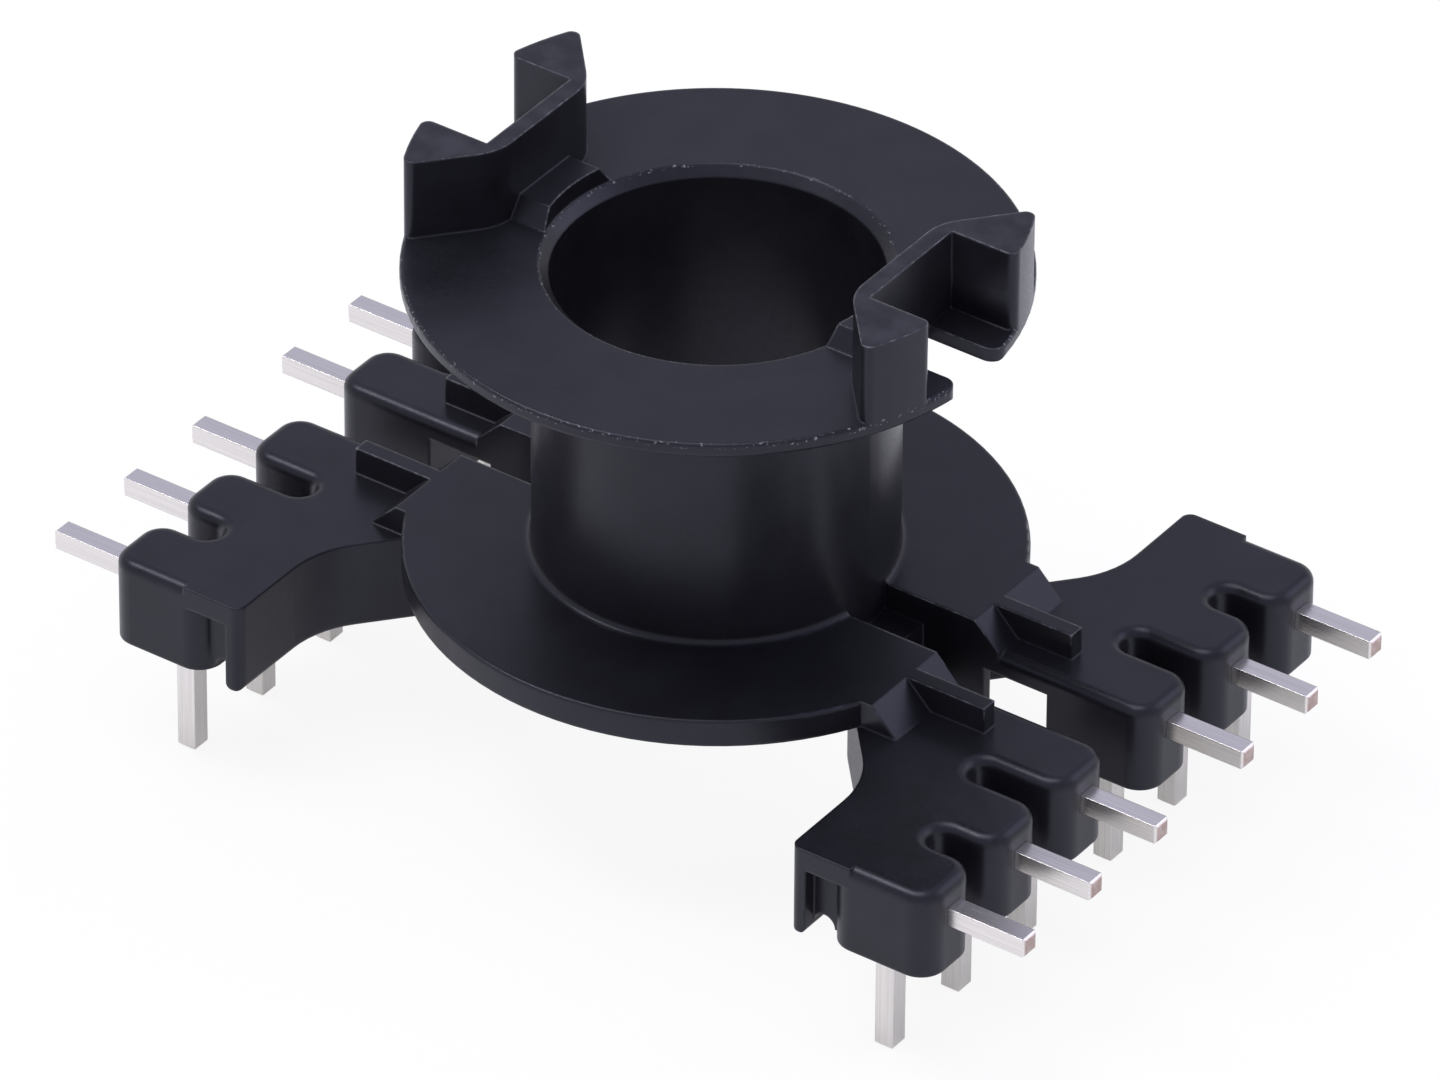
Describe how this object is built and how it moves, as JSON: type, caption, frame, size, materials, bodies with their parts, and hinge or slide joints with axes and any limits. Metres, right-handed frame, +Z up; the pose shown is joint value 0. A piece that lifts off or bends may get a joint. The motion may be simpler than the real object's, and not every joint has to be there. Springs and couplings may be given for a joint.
{
  "type": "transformer bobbin",
  "caption": "Empty coil former for a small ferrite-core transformer, with V-shaped core walls, lobed terminal blocks and rows of bent pins.",
  "frame": {"origin": "on the bore's axis, at the level of the pin legs' tips", "axes": "+Z up along the bore, +X across the two pin rows, +Y along a row"},
  "size_m": [0.0392, 0.023, 0.0225],
  "materials": {
    "black_phenolic": "black glass-filled thermoset, satin from the mould",
    "tinned_copper": "drawn square copper wire with a bright tin coat"
  },
  "bodies": {
    "root": {"coil_former": "black_phenolic", "pin_1": "tinned_copper", "pin_2": "tinned_copper", "pin_3": "tinned_copper", "pin_4": "tinned_copper", "pin_5": "tinned_copper", "pin_6": "tinned_copper", "pin_7": "tinned_copper", "pin_8": "tinned_copper", "pin_9": "tinned_copper", "pin_10": "tinned_copper", "pin_11": "tinned_copper", "pin_12": "tinned_copper"}
  },
  "joints": []
}
